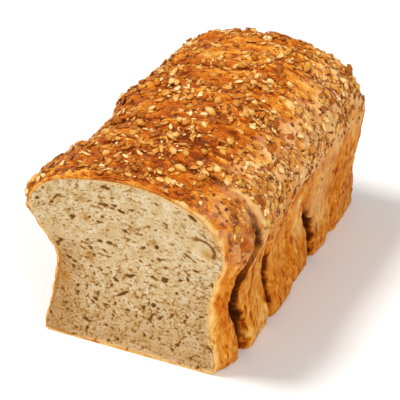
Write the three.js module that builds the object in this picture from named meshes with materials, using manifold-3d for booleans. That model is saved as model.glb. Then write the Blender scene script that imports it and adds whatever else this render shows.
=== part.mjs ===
// A multigrain tin loaf that has been cut across: one solid, with folded lobes and a seeded crown.
// Millimetres, +Z up. X runs across the cut face, Y from the cut face back to the heel.
import * as THREE from "three";
import { ParametricGeometry } from "three/addons/geometries/ParametricGeometry.js";
import { mergeVertices } from "three/addons/utils/BufferGeometryUtils.js";
import Module from "manifold-3d";

// Length from the cut face to the rim of the heel, the heel's dome beyond it, and the middle of the whole
// loaf's box, measured from the middle of the cut face's foot.
const LENGTH = 207;
const HEEL_DOME = 2.5;
const BOX_MIDDLE = { x: 2.69, y: (LENGTH + HEEL_DOME) / 2 };

// The section at the cut face, on each side: how far out, how far up, and its share of the swelling behind
// the cut.
const RIGHT = {
  heelOfFoot: { out: 46, up: 0, share: 0.6 },
  foot: { out: 54, up: 5, share: 0.6 },
  waist: { out: 51.6, up: 32, share: 0.5 },
  neck: { out: 54.5, up: 57, share: 0.8 },
  shoulder: { out: 60.3, up: 77, share: 1 },
  haunch: { out: 48.5, up: 96, share: 0.8 },
  crown: { out: 26, up: 106.2, share: 0 },
};
const LEFT = {
  crown: { out: 26, up: 106.2, share: 0 },
  haunch: { out: 47.5, up: 99, share: 0.3 },
  shoulder: { out: 60, up: 83, share: 1 },
  brow: { out: 48.5, up: 64, share: 0.6 },
  neck: { out: 41.5, up: 51, share: 0.6 },
  waist: { out: 46, up: 26, share: 0.4 },
  foot: { out: 52, up: 5, share: 0.6 },
  heelOfFoot: { out: 44, up: 0, share: 0.6 },
};
const TOP = { out: 2, up: 109 };

// How the section changes along the loaf, as [station, millimetres].
const SHIFT = [
  [0, 0], [14, 1.5], [30, 2.8], [45, 5.5], [72, 5.2], [95, 2.8], [130, 1.8], [165, 2.8], [207, 3],
];
const SWELL = [
  [0, 0], [12, 3.5], [25, 5.2], [43, 3.6], [58, 1.5], [72, 0.5], [95, 1], [120, 1.8], [207, 1.2],
];
const RISE = [[0, 0], [25, 1.2], [60, 1.2], [100, 3.2], [150, 5.6], [207, 5.6]];
const RIGHT_FLARE = {
  foot: [[0, 0], [60, 0.5], [90, 3.5], [115, 0], [150, -0.5], [190, -3.5]],
  waist: [[0, 0], [120, 0.3], [180, 2.7]],
  neck: [[0, 0], [120, 0.5], [180, 4.5]],
  shoulder: [[0, 0], [110, 0], [165, -2]],
};

// Rounding of the heel: where it starts, and how far its rim is drawn in at the foot, the wall and the crown.
const HEEL = {
  depth: 26, middleUp: 45, foot: 5, wall: 17, crown: 34, wallUp: 60, crownFrom: 70, crownUp: 110,
};

// Clefts between the lobes of dough: station at mid width, half width, depth in the crown, and in each wall
// the depth and the height that it reaches up to.
const CLEFTS = [
  { at: 36, width: 3.4, crown: 1.4, right: { deep: 17, reach: 82 }, left: { deep: 6, reach: 96 } },
  { at: 67, width: 2.4, crown: 1.6, right: { deep: 9, reach: 58 }, left: { deep: 8, reach: 96 } },
  { at: 101, width: 4.2, crown: 0.9, right: { deep: 3, reach: 70 }, left: { deep: 4, reach: 90 } },
  { at: 138, width: 2.7, crown: 1.2, right: { deep: 13, reach: 42 }, left: { deep: 6, reach: 80 } },
  { at: 163, width: 4.5, crown: 0.8, right: { deep: 2.5, reach: 75 }, left: { deep: 4, reach: 85 } },
];
// A cleft fades over this height, grows from the middle of the section to the wall, and runs askew across the
// loaf. It is narrower above the neck, as [height, share of its width].
const CLEFT_FADE = 14;
const CLEFT_FROM = 15;
const CLEFT_FULL = 52;
const CLEFT_SHARE = [[66, 1], [84, 0.6]];
const SKEW = [[0, 0], [36, -0.12], [67, -0.08], [131, -0.03], [207, 0]];

// In the right wall the clefts lean towards the cut face: how far, as [station, millimetres], and which share
// of it, as [height, share], with the most between the waist and the neck and none at the shoulder.
const LEAN = [[0, 0], [36, -9], [67, -3], [100, 0], [138, -11], [172, 0]];
const LEAN_SHARE = [[20, 0.55], [44, 1.6], [60, 1.45], [82, 0]];

// Low wrinkles that run round the crust and wander along the loaf, fading where the crust faces down.
const WRINKLE = { height: 0.7, pitch: 15.5, wander: 2, waves: 3, fadeFrom: -0.6, fadeTo: 0.2 };

// Seeds and flakes half sunk in the crown: their size, the part of the crust that they cover, the reach over
// which the crust under a seed is felt, and the steps that spread them evenly.
const SEED = { count: 150, long: 7.4, wide: 4.6, thick: 3.4, spread: 0.22, sunk: 0.58, sides: 7, rows: 3 };
const SEEDED = { from: 0.3, to: 0.655, start: 7, end: 196 };
const OPEN_CLEFT = { from: 0.37, to: 0.59, widths: 2.4 };
const NEARBY = { round: 0.004, station: 1 };
const EVEN_STEPS = { round: 0.7548776662, station: 0.569840291 };
const DRAW_SEED = 20417;

// Mesh density: steps round the section, stations along the loaf, and how close two corners are one.
const STEPS_ROUND = 51;
const COARSE_STEP = 7;
const CLEFT_STATIONS = [-1.9, -0.8, 0, 0.8, 1.9];
const HEEL_STATIONS = 6;
const MERGE_WITHIN = 1e-4;

const { lerp, smoothstep, clamp } = THREE.MathUtils;

const wasm = await Module();
wasm.setup();

// A value at a station or a height, eased between the knots on each side of it.
function along(knots, place) {
  const next = knots.findIndex(([at]) => at > place);
  if (next === 0) return knots[0][1];
  if (next < 0) return knots[knots.length - 1][1];
  const [start, before] = knots[next - 1];
  const [end, after] = knots[next];
  return lerp(before, after, smoothstep(place, start, end));
}

// The closed outline of the section at a station, from the middle of the underside round by the right.
function sectionCurve(station) {
  const shift = along(SHIFT, station);
  const swell = along(SWELL, station);
  const tall = 1 + along(RISE, station) / TOP.up;
  const flare = (name) => (RIGHT_FLARE[name] ? along(RIGHT_FLARE[name], station) : 0);
  const rightOut = (name, { out, share }) => out + share * swell + flare(name);
  const right = Object.entries(RIGHT).map(([name, knot]) => [rightOut(name, knot), knot.up]);
  const left = Object.values(LEFT).map(({ out, up, share }) => [-out - share * swell, up]);
  const outline = [[0, 0], ...right, [TOP.out, TOP.up], ...left];
  const points = outline.map(([x, z]) => new THREE.Vector3(x + shift, 0, z * tall));
  return new THREE.CatmullRomCurve3(points, true, "catmullrom", 0.5);
}

// Press a point of the section in by the clefts at a station: sideways in the walls, down in the crown.
function pressClefts(point, station, outward) {
  const off = point.x - along(SHIFT, station);
  const sideways = Math.sign(off) * smoothstep(Math.abs(off), CLEFT_FROM, CLEFT_FULL);
  for (const { at, width, crown, right, left } of CLEFTS) {
    const near = Math.exp(-(((station - at) / (width * along(CLEFT_SHARE, point.z))) ** 2));
    const { deep, reach } = off > 0 ? right : left;
    const low = 1 - smoothstep(point.z, reach - CLEFT_FADE, reach + CLEFT_FADE);
    point.x -= near * deep * low * sideways;
    point.z -= near * crown * Math.max(outward.z, 0);
  }
}

// How far a point of the section is carried along the loaf by the lean of the right wall's clefts.
function leanAt(point, station) {
  const wall = smoothstep(point.x - along(SHIFT, station), CLEFT_FROM, CLEFT_FULL);
  return along(LEAN, station) * along(LEAN_SHARE, point.z) * wall;
}

// The height of the wrinkles at a point of the crust.
function wrinkleHeight(station, round, outward) {
  const wander = WRINKLE.wander * Math.sin(2 * Math.PI * WRINKLE.waves * round);
  const wave = Math.sin((2 * Math.PI * station) / WRINKLE.pitch + wander);
  return WRINKLE.height * wave * smoothstep(outward.z, WRINKLE.fadeFrom, WRINKLE.fadeTo);
}

// How far the heel's rim is drawn in at a height, where it is fully rounded.
function heelInset(height) {
  const low = lerp(HEEL.foot, HEEL.wall, smoothstep(height, 0, HEEL.wallUp));
  return low + (HEEL.crown - HEEL.wall) * smoothstep(height, HEEL.crownFrom, HEEL.crownUp);
}

// Draw a point in towards the middle of the section as the heel rounds off, keeping the underside flat.
function roundHeel(point, station) {
  const past = clamp((station - LENGTH + HEEL.depth) / HEEL.depth, 0, 1);
  const drawn = 1 - Math.sqrt(1 - past * past);
  const middle = new THREE.Vector3(along(SHIFT, station), 0, HEEL.middleUp);
  const spoke = new THREE.Vector3().subVectors(point, middle).normalize();
  const floor = point.z;
  point.addScaledVector(spoke, -drawn * heelInset(point.z));
  if (floor === 0) point.z = 0;
}

// A point of the crust: round is 0 to 1 round the section, station 0 at the cut face and LENGTH at the heel's
// rim.
function crustPoint(round, station) {
  const curve = sectionCurve(station);
  const turn = ((round % 1) + 1) % 1;
  const point = curve.getPoint(turn);
  const tangent = curve.getTangent(turn);
  const outward = new THREE.Vector3(tangent.z, 0, -tangent.x);
  point.addScaledVector(outward, wrinkleHeight(station, turn, outward));
  const lean = leanAt(point, station);
  pressClefts(point, station, outward);
  point.z = Math.max(point.z, 0);
  roundHeel(point, station);
  point.y = station + along(SKEW, station) * point.x + lean;
  return point;
}

// Stations of the rings along the loaf: close together at the clefts and on the heel's rounding.
function ringStations() {
  const atClefts = CLEFTS.flatMap(({ at, width }) => CLEFT_STATIONS.map((k) => at + k * width));
  const heelStart = LENGTH - HEEL.depth;
  const isClear = (y) => atClefts.every((at) => Math.abs(y - at) > COARSE_STEP / 3);
  const between = [];
  for (let y = COARSE_STEP; y < heelStart - COARSE_STEP / 3; y += COARSE_STEP) {
    if (isClear(y)) between.push(y);
  }
  const heel = [];
  for (let i = 0; i <= HEEL_STATIONS; i++) {
    heel.push(heelStart + HEEL.depth * Math.sin((i / HEEL_STATIONS) * (Math.PI / 2)));
  }
  return [0, ...atClefts, ...between, ...heel].sort((a, b) => a - b);
}

// The bare loaf: rings of crust, closed by the flat cut face in front and the domed heel behind.
function loafGeometry() {
  const stations = ringStations();
  const rows = stations.length + 1;
  const pointAt = (u, v, target) => {
    const row = Math.round(v * rows);
    if (row === 0) return target.set(0, 0, HEEL.middleUp);
    if (row === rows) return target.set(along(SHIFT, LENGTH), LENGTH + HEEL_DOME, HEEL.middleUp);
    return target.copy(crustPoint(1 - u, stations[row - 1]));
  };
  return new ParametricGeometry(pointAt, STEPS_ROUND, rows);
}

// A repeatable stream of numbers from 0 to 1.
function makeDraw(seed) {
  const range = 2 ** 32;
  let state = seed;
  return () => {
    state = (state * 1664525 + 1013904223) % range;
    return state / range;
  };
}

// The crust at a point: its place, the direction round the section, and the direction straight out.
function crustFrame(round, station) {
  const here = crustPoint(round, station);
  const across = crustPoint(round + NEARBY.round, station).sub(crustPoint(round - NEARBY.round, station));
  across.normalize();
  const back = crustPoint(round, station + NEARBY.station).sub(crustPoint(round, station - NEARBY.station));
  const out = new THREE.Vector3().crossVectors(back, across).normalize();
  return { here, across, out };
}

// One flattened seed, sunk in the crust at a point and turned about the outward direction.
function seedGeometry(round, station, size, turn) {
  const { here, across, out } = crustFrame(round, station);
  const side = new THREE.Vector3().crossVectors(out, across);
  const lift = (0.5 - SEED.sunk) * SEED.thick * size;
  const place = new THREE.Matrix4().makeBasis(across, side, out);
  place.setPosition(here.addScaledVector(out, lift));
  place.multiply(new THREE.Matrix4().makeRotationZ(turn));
  const half = new THREE.Vector3(SEED.long, SEED.wide, SEED.thick).multiplyScalar(size / 2);
  place.scale(half);
  return new THREE.SphereGeometry(1, SEED.sides, SEED.rows).rotateX(Math.PI / 2).applyMatrix4(place);
}

// Seeds spread evenly over the crown, apart from those that would hang over the open end of a cleft.
function seedGeometries() {
  const draw = makeDraw(DRAW_SEED);
  const seeds = [];
  for (let i = 1; i <= SEED.count; i++) {
    const round = lerp(SEEDED.from, SEEDED.to, (i * EVEN_STEPS.round) % 1);
    const station = lerp(SEEDED.start, SEEDED.end, (i * EVEN_STEPS.station) % 1);
    const size = 1 + SEED.spread * (2 * draw() - 1);
    const turn = draw() * Math.PI;
    const onTop = round > OPEN_CLEFT.from && round < OPEN_CLEFT.to;
    const isClear = CLEFTS.every(({ at, width }) => Math.abs(station - at) > OPEN_CLEFT.widths * width);
    if (onTop || isClear) seeds.push(seedGeometry(round, station, size, turn));
  }
  return seeds;
}

// A closed geometry as a solid: shared corners merged, and triangles that collapsed dropped.
function toSolid(geometry) {
  const bare = geometry.clone();
  bare.deleteAttribute("normal");
  bare.deleteAttribute("uv");
  const merged = mergeVertices(bare, MERGE_WITHIN);
  const index = merged.index.array;
  const kept = [];
  for (let i = 0; i < index.length; i += 3) {
    const [a, b, c] = index.slice(i, i + 3);
    if (a !== b && b !== c && c !== a) kept.push(a, b, c);
  }
  const vertProperties = merged.attributes.position.array;
  return new wasm.Manifold(new wasm.Mesh({ numProp: 3, vertProperties, triVerts: new Uint32Array(kept) }));
}

// A solid as a geometry again.
function toGeometry(solid) {
  const { vertProperties, triVerts } = solid.getMesh();
  const geometry = new THREE.BufferGeometry();
  geometry.setAttribute("position", new THREE.BufferAttribute(vertProperties, 3));
  geometry.setIndex(new THREE.BufferAttribute(triVerts, 1));
  geometry.computeVertexNormals();
  return geometry;
}

const bareLoaf = toSolid(loafGeometry());
const seededLoaf = seedGeometries().reduce((solid, seed) => solid.add(toSolid(seed)), bareLoaf);

const loaf = new THREE.Mesh(
  toGeometry(seededLoaf),
  new THREE.MeshStandardMaterial({ color: 0xb8752f, roughness: 0.75, metalness: 0 }),
);
loaf.name = "loaf";
loaf.position.set(-BOX_MIDDLE.x, -BOX_MIDDLE.y, 0);

const bread = new THREE.Group();
bread.add(loaf);

export default bread;
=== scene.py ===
import math

import bmesh
import bpy
import numpy as np
from mathutils import Matrix, Vector, noise


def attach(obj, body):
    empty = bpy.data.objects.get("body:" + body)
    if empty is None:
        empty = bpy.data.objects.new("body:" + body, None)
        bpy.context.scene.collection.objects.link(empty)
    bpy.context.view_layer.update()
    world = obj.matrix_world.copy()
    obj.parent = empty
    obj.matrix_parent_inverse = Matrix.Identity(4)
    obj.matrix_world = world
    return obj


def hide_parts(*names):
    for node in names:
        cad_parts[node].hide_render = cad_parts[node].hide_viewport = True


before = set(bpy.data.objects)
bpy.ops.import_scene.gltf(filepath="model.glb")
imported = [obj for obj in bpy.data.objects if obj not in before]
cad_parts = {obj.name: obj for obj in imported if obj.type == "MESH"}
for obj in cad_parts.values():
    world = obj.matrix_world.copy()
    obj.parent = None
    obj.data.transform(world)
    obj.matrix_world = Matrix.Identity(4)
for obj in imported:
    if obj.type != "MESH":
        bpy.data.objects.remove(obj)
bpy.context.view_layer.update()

# The loaf's form, in millimetres: X across the cut face, Y from the cut face to the heel, Z up.
# A station is a distance along Y, and a turn goes from 0 to 1 round the section.
MM = 0.001
LENGTH = 207.0
HEEL_DOME = 2.5
BOX_MIDDLE = np.array([2.69, (LENGTH + HEEL_DOME) / 2, 0.0])

# The section at the cut face: name, side, how far out, how far up, and share of the swelling behind the cut.
TOP_UP = 109.0
OUTLINE = [
    ("sole", 0, 0, 0, 0),
    ("right heel of foot", 1, 46, 0, 0.6),
    ("right foot", 1, 54, 5, 0.6),
    ("right waist", 1, 51.6, 32, 0.5),
    ("right neck", 1, 54.5, 57, 0.8),
    ("right shoulder", 1, 60.3, 77, 1),
    ("right haunch", 1, 48.5, 96, 0.8),
    ("right crown", 1, 26, 106.2, 0),
    ("top", 1, 2, TOP_UP, 0),
    ("left crown", -1, 26, 106.2, 0),
    ("left haunch", -1, 47.5, 99, 0.3),
    ("left shoulder", -1, 60, 83, 1),
    ("left brow", -1, 48.5, 64, 0.6),
    ("left neck", -1, 41.5, 51, 0.6),
    ("left waist", -1, 46, 26, 0.4),
    ("left foot", -1, 52, 5, 0.6),
    ("left heel of foot", -1, 44, 0, 0.6),
]

# How the section changes along the loaf, as (station, millimetres): its shift to the right, its swelling,
# its rise, and how far some of its points flare out.
SHIFT = [(0, 0), (14, 1.5), (30, 2.8), (45, 5.5), (72, 5.2), (95, 2.8), (130, 1.8), (165, 2.8), (207, 3)]
SWELL = [(0, 0), (12, 3.5), (25, 5.2), (43, 3.6), (58, 1.5), (72, 0.5), (95, 1), (120, 1.8), (207, 1.2)]
RISE = [(0, 0), (25, 1.2), (60, 1.2), (100, 3.2), (150, 5.6), (207, 5.6)]
FLARE = {
    "right foot": [(0, 0), (60, 0.5), (90, 3.5), (115, 0), (150, -0.5), (190, -3.5)],
    "right waist": [(0, 0), (120, 0.3), (180, 2.7)],
    "right neck": [(0, 0), (120, 0.5), (180, 4.5)],
    "right shoulder": [(0, 0), (110, 0), (165, -2)],
}

# The rounded heel: its depth, and how far its rim is drawn in at the foot, the wall and the crown.
HEEL_DEPTH, HEEL_MIDDLE = 26.0, 45.0
HEEL_FOOT, HEEL_WALL, HEEL_CROWN = 5.0, 17.0, 34.0
HEEL_WALL_UP, HEEL_CROWN_FROM, HEEL_CROWN_UP = 60.0, 70.0, 110.0

# Clefts between the lobes of dough: station, half width, depth in the crown, and depth and reach on the right
# and on the left.
CLEFTS = [
    (36, 3.4, 1.4, (17, 82), (6, 96)),
    (67, 2.4, 1.6, (9, 58), (8, 96)),
    (101, 4.2, 0.9, (3, 70), (4, 90)),
    (138, 2.7, 1.2, (13, 42), (6, 80)),
    (163, 4.5, 0.8, (2.5, 75), (4, 85)),
]
CLEFT_FADE, CLEFT_FROM, CLEFT_FULL = 14.0, 15.0, 52.0
# A cleft's share of its width at each height.
CLEFT_SHARE = [(66, 1), (84, 0.6)]
# How the stations slant across the loaf, and how far the right wall's clefts lean along it.
SKEW = [(0, 0), (36, -0.12), (67, -0.08), (131, -0.03), (207, 0)]
LEAN = [(0, 0), (36, -9), (67, -3), (100, 0), (138, -11), (172, 0)]
LEAN_SHARE = [(20, 0.55), (44, 1.6), (60, 1.45), (82, 0)]
# Low wrinkles round the crust, which fade on faces that look down.
WRINKLE_HEIGHT, WRINKLE_PITCH, WRINKLE_WANDER, WRINKLE_WAVES = 0.7, 15.5, 2.0, 3
WRINKLE_FADE = (-0.6, 0.2)

# The crust's thickness at the cut, the depth of the crumb's seat and of the crumb, and its lap over the rim.
CRUST_EDGE, RECESS, SLAB, CRUMB_LAP = 1.3, 5.0, 9.0, 0.35
CRUMB_MIDDLE = np.array([0.0, 0.0, 52.0])
# Corners of a mesh that are closer than this are one.
WELD = 0.01


# Small helpers

# Steps in which a spacing is worked out.
FINE_STEPS = 4001
# How far apart the noises of two seeds lie, and how fast a noise's octaves weaken and shrink.
NOISE_SHIFT, NOISE_FALL, NOISE_STEP = 31.7, 0.9, 2.1
# Keeps a direction without a length at zero.
TINY = 1e-9


def ease(value, outside, inside):
    """From 0 to 1 as the value goes from outside to inside, with soft ends; either may be the larger."""
    t = np.clip((value - outside) / (inside - outside), 0, 1)
    return t * t * (3 - 2 * t)


def mix(pair, share):
    """From the first value of a pair to the second as the share goes from 0 to 1."""
    first, second = pair
    return first + (second - first) * share


def bell(value, half):
    """1 at zero, falling off on both sides over a half width."""
    return np.exp(-((value / half) ** 2))


def unit(vectors):
    return vectors / (np.linalg.norm(vectors, axis=-1, keepdims=True) + TINY)


def along(knots, place):
    """A value at each station or height, eased between the knots on each side of it."""
    at, value = np.array(knots, float).T
    i = np.clip(np.searchsorted(at, place, side="right"), 1, len(at) - 1)
    return value[i - 1] + (value[i] - value[i - 1]) * ease(place, at[i - 1], at[i])


def within(part, points, station):
    """How far each point is inside a part of the loaf, which is a list of eases across, along and up it."""
    place = {"across": points[..., 0], "along": station, "up": points[..., 2]}
    share = 1.0
    for way, outside, inside in part:
        share = share * ease(place[way], outside, inside)
    return share


def spaced(start, end, count, weight):
    """Places from start to end, closer together where the weight is larger."""
    fine = np.linspace(start, end, FINE_STEPS)
    total = np.concatenate([[0], np.cumsum(weight(fine[1:]))])
    return np.interp(np.linspace(0, total[-1], count), total, fine)


def noise_at(points, size, octaves, seed):
    """Smooth noise from about -1 to 1, with lumps of the given size."""
    shifted = np.asarray(points) / size + NOISE_SHIFT * seed
    flat = shifted.reshape(-1, 3).tolist()
    values = [noise.fractal(p, NOISE_FALL, NOISE_STEP, octaves) for p in flat]
    return np.array(values).reshape(shifted.shape[:-1])


def to_frame(points):
    """From millimetres on the loaf to metres in the part's frame."""
    return (points - BOX_MIDDLE) * MM


# The loaf's surface


def section(turn, station):
    """The outline at each turn and station, and its slope, from the middle of the sole round by the right."""
    swell, shift = along(SWELL, station), along(SHIFT, station)
    tall = 1 + along(RISE, station) / TOP_UP
    xs, zs = [], []
    for name, side, out, up, share in OUTLINE:
        flare = along(FLARE[name], station) if name in FLARE else 0
        xs.append(side * (out + share * swell + flare) + shift)
        zs.append(up * tall)
    knots = np.array([xs, zs])
    count = len(OUTLINE)
    place = (turn % 1) * count
    first = np.floor(place).astype(int)
    t = place - first
    many = np.arange(len(turn))
    before, start, end, after = [knots[:, (first + k) % count, many] for k in (-1, 0, 1, 2)]
    leave, arrive = (end - before) / 2, (after - start) / 2
    bend = 3 * (end - start) - 2 * leave - arrive
    twist = 2 * (start - end) + leave + arrive
    point = start + t * (leave + t * (bend + t * twist))
    slope = leave + t * (2 * bend + 3 * t * twist)
    return point, slope


def press_clefts(x, z, station, out_z):
    """Press the section in by the clefts: sideways in the walls, down in the crown."""
    off = x - along(SHIFT, station)
    sideways = np.sign(off) * ease(np.abs(off), CLEFT_FROM, CLEFT_FULL)
    for at, width, crown, (right_deep, right_reach), (left_deep, left_reach) in CLEFTS:
        near = bell(station - at, width * along(CLEFT_SHARE, z))
        deep = np.where(off > 0, right_deep, left_deep)
        reach = np.where(off > 0, right_reach, left_reach)
        low = 1 - ease(z, reach - CLEFT_FADE, reach + CLEFT_FADE)
        x = x - near * deep * low * sideways
        z = z - near * crown * np.maximum(out_z, 0)
    return x, z


def lean_at(x, z, station):
    """How far the lean of the right wall's clefts carries each point along the loaf."""
    wall = ease(x - along(SHIFT, station), CLEFT_FROM, CLEFT_FULL)
    return along(LEAN, station) * along(LEAN_SHARE, z) * wall


def round_heel(x, z, station):
    """Draw the section in towards its middle as the heel rounds off, keeping the sole flat."""
    past = np.clip((station - LENGTH + HEEL_DEPTH) / HEEL_DEPTH, 0, 1)
    drawn = 1 - np.sqrt(1 - past * past)
    inset = HEEL_FOOT + (HEEL_WALL - HEEL_FOOT) * ease(z, 0, HEEL_WALL_UP)
    inset = inset + (HEEL_CROWN - HEEL_WALL) * ease(z, HEEL_CROWN_FROM, HEEL_CROWN_UP)
    spoke_x, spoke_z = x - along(SHIFT, station), z - HEEL_MIDDLE
    reach = np.hypot(spoke_x, spoke_z)
    lifted = np.where(z > 0, z - drawn * inset * spoke_z / reach, 0)
    return x - drawn * inset * spoke_x / reach, lifted


def crust_points(turn, station):
    """Points of the bare crust."""
    turn, station = (np.asarray(v, float).ravel() for v in np.broadcast_arrays(turn, station))
    (x, z), (dx, dz) = section(turn, station)
    length = np.hypot(dx, dz)
    out_x, out_z = dz / length, -dx / length
    wander = WRINKLE_WANDER * np.sin(2 * np.pi * WRINKLE_WAVES * turn)
    wave = np.sin(2 * np.pi * station / WRINKLE_PITCH + wander)
    lift = WRINKLE_HEIGHT * wave * ease(out_z, *WRINKLE_FADE)
    x, z = x + out_x * lift, z + out_z * lift
    lean = lean_at(x, z, station)
    x, z = press_clefts(x, z, station, out_z)
    x, z = round_heel(x, np.maximum(z, 0), station)
    return np.stack([x, station + along(SKEW, station) * x + lean, z], axis=-1)


def columns_apart(points):
    """From the column before each lattice point to the column after it."""
    return np.roll(points, -1, axis=1) - np.roll(points, 1, axis=1)


def lattice_normals(points):
    """Outward directions of a lattice of rows along the loaf and columns round it."""
    return unit(np.cross(np.gradient(points, axis=0), columns_apart(points)))


def bent_grid(name, points, values, is_ring):
    """A grid bent onto a lattice of points, welded where its edges meet, with values as attributes."""
    rows, columns = points.shape[:2]
    across = columns if is_ring else columns - 1
    bm = bmesh.new()
    bmesh.ops.create_grid(bm, x_segments=across, y_segments=rows - 1, size=1)
    flat = np.array([v.co for v in bm.verts])
    column = np.rint((flat[:, 0] + 1) / 2 * across).astype(int) % columns
    row = np.rint((flat[:, 1] + 1) / 2 * (rows - 1)).astype(int)
    mesh = bpy.data.meshes.new(name)
    bm.to_mesh(mesh)
    bm.free()
    mesh.vertices.foreach_set("co", to_frame(points)[row, column].astype(np.float32).ravel())
    for key, value in values.items():
        attribute = mesh.attributes.new(key, "FLOAT", "POINT")
        attribute.data.foreach_set("value", value[row, column].astype(np.float32).ravel())
    bm = bmesh.new()
    bm.from_mesh(mesh)
    bmesh.ops.remove_doubles(bm, verts=bm.verts, dist=WELD * MM)
    return bm, mesh


def finish_piece(bm, mesh, material):
    """Turn the faces outwards, shade them smooth, and put the piece in the loaf's place."""
    bmesh.ops.recalc_face_normals(bm, faces=bm.faces)
    for face in bm.faces:
        face.smooth = True
    bm.to_mesh(mesh)
    bm.free()
    mesh.materials.append(material)
    piece = bpy.data.objects.new(mesh.name, mesh)
    bpy.context.scene.collection.objects.link(piece)
    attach(piece, "root")
    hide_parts("loaf")


# The crust

# Columns round the crust and rows along it, and how they crowd.
CRUST_COLUMNS, TUBE_ROWS, HEEL_ROWS = 380, 200, 40
CLEFT_CROWD, CLEFT_CROWD_WIDTHS = 0.9, 2.2
HEEL_CROWD, HEEL_CROWD_END = 1.2, 0.985
COLUMN_STATION, SOLE_UP, SOLE_CROWD = 60.0, 0.5, 0.3

# How far the left shoulder bulges out, as (station, millimetres), and how far the left clefts wander.
LEFT_BULGE = [
    (0, 0), (10, 1.3), (22, 1.3), (36, 3.0), (45, 1.6), (53, -1.2), (64, 1.0), (75, -1.2), (87, -3.0),
    (94, -0.5), (103, 3.2), (115, 1.4), (125, -0.3), (137, -4.0), (150, -2.2), (165, -0.8), (181, -3.2),
    (207, -3.0),
]
LEFT_SHOULDER = [("across", -20, -52), ("up", 55, 80)]
LEFT_CLEFTS = [("across", -12, -40), ("along", 6, 26), ("along", 190, 172)]
LEFT_WANDER = 6.0

# How far up each open cleft takes painted shadow, on the right and on the left, and how soon it ends there.
SHADE_UP = [(100, 92), (50, 92), (0, 0), (42, 80), (0, 0)]
SHADE_END = (-12, 2)
# How far a cleft's shadow reaches behind its middle, as (height, half widths), and where its edge is soft.
SHADOW_REACH = [(5, 1.05), (20, 1.35), (45, 1.6), (58, 2.3), (68, 2.3), (75, 1.3), (82, 0.6), (95, 0.4)]
SHADOW_EDGE = (0.8, 1.2)
SHADOW_RAGGED = [(70, 1.3), (90, 0.6)]
# How dark the painted shadow is at each height, and the depth of a cleft that is fully dark.
SHADE_TONE = [(50, 1.0), (60, 0.75), (70, 0.6), (74, 1.0), (79, 1.0), (84, 0.45)]
DARK_DEPTH = 11
# The fold that a cleft leaves over the crown, which also takes painted shade.
FOLD_UP, FOLD_WANDER, FOLD_HALF = (78, 92), 2.2, 1.7

# Strips of pale torn dough on the right: station and height of both ends, half width, and how pale.
TORN = [
    (39.4, 101, 43.6, 70, 2.1, 1.0),
    (128, 103, 164, 60, 2.8, 0.6),
    (114, 58, 122, 26, 8.0, 0.85),
    (150, 62, 149, 18, 7.0, 0.6),
    (68, 84, 78, 50, 3.0, 0.5),
]
TORN_FOOT, TORN_HEAD, TORN_WANDER = (-4, 8), (-4, 3), 1.5
TORN_PATCHY, TORN_PATCHES = (0.5, 1.0), (-0.35, 0.35)

# Smooth places between the seeds on the crown: station, place across, and radius.
SMOOTH = [(156, -16, 24), (86, -42, 17), (62, -46, 14), (150, 36, 13), (112, 12, 10), (70, 20, 9)]
SMOOTH_CORE, SMOOTH_MOST, SMOOTH_PATCHES = 0.5, 0.7, (0.05, 0.4)

# Noise in the crust: size in millimetres, octaves and seed.
LEFT_WAVES = (34, 2, 21)
CLEFT_WAVES, CLEFT_RAGS, TORN_FIBRES = (22, 2, 10), (4, 2, 15), (3.5, 2, 13)
SMOOTH_SPOTS, LUMPS, FIBRE_WAVES = (20, 2, 19), (9, 3, 1), (16, 2, 3)
CROWN_FIBRES, WALL_FIBRES, HEEL_FIBRES = (6.2, 2, 2), (4.2, 3, 11), (6, 3, 14)
STRANDS, RIDGES, CRAGS = (2.6, 1, 6), (6.5, 2, 20), (4.6, 3, 12)
BAKED_CLOUDS, BAKED_SPOTS = (24, 2, 4), (7, 2, 5)

# How the noise is drawn out round the section, and how its fibres slant on the walls.
FIBRE_STRETCH = np.array([0.35, 1.0, 0.35])
RIDGE_STRETCH = np.array([0.2, 1.0, 0.2])
WALL_STRETCH = np.array([0.3, 1.0, 0.3])
CRAG_STRETCH = np.array([0.65, 1.0, 0.65])
FIBRE_SWING = np.array([0, 3.4, 0])
WALL_SLANT = 0.25

# Heights of the relief in millimetres. A pair is a value on the walls and one on the crown.
CROWN_UP = (66, 94)
LUMP_HEIGHT, FIBRE_HEIGHT, RELIEF_LEVEL = (0.32, 0.8), (1.2, 1.4), (0.5, 0.9)
STRAND_HEIGHT, FOLD_DEPTH, CRAG_HEIGHT, RIDGE_HEIGHT = 0.7, 0.9, 1.5, 1.5
HEEL_FACING, VALLEY_FLOOR, SMOOTH_CALM, DEEP_CALM = (0.4, 0.8), (0.16, 0.0), 0.8, 0.5
RELIEF_UP = (0.2, 6)
# The lowest that the relief may go, at the cut and behind it.
LOWEST, LOWEST_STATIONS = (-0.3, -2.3), (1, 9)

# How far the crust is baked, from 0, pale, to 1, dark, on the walls and on the crown.
BAKED = (0.40, 0.60)
# Parts that are baked more or less: how much, on which surface, and where.
BAKED_PARTS = [
    # Redder in the middle of the front crown, and more golden behind and to the left.
    (0.05, "crown", [("along", 130, 70), ("across", -32, -12), ("across", 48, 28)]),
    (-0.08, "crown", [("along", 90, 150)]),
    (-0.14, "crown", [("across", -28, -54)]),
    # Pale on the right shoulder, most of all behind the first cleft.
    (-0.02, "crown", [("across", 30, 56)]),
    (-0.26, "crown", [("across", 30, 56), ("along", 30, 46)]),
    (0.02, "all", [("across", 36, 50), ("up", 62, 76), ("along", 36, 28)]),
    # The second lobe's wall, and the feet of the first two lobes.
    (-0.05, "walls", [("along", 34, 38), ("along", 72, 62)]),
    (-0.08, "walls", [("along", 34, 38), ("along", 72, 62), ("up", 30, 8)]),
    (-0.06, "all", [("along", 34, 20), ("up", 40, 14)]),
    # The cut edge, palest on the right.
    (-0.22, "all", [("along", 4.5, 0.8)]),
    (-0.14, "all", [("along", 4.5, 0.8), ("across", 20, 50)]),
]
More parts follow.
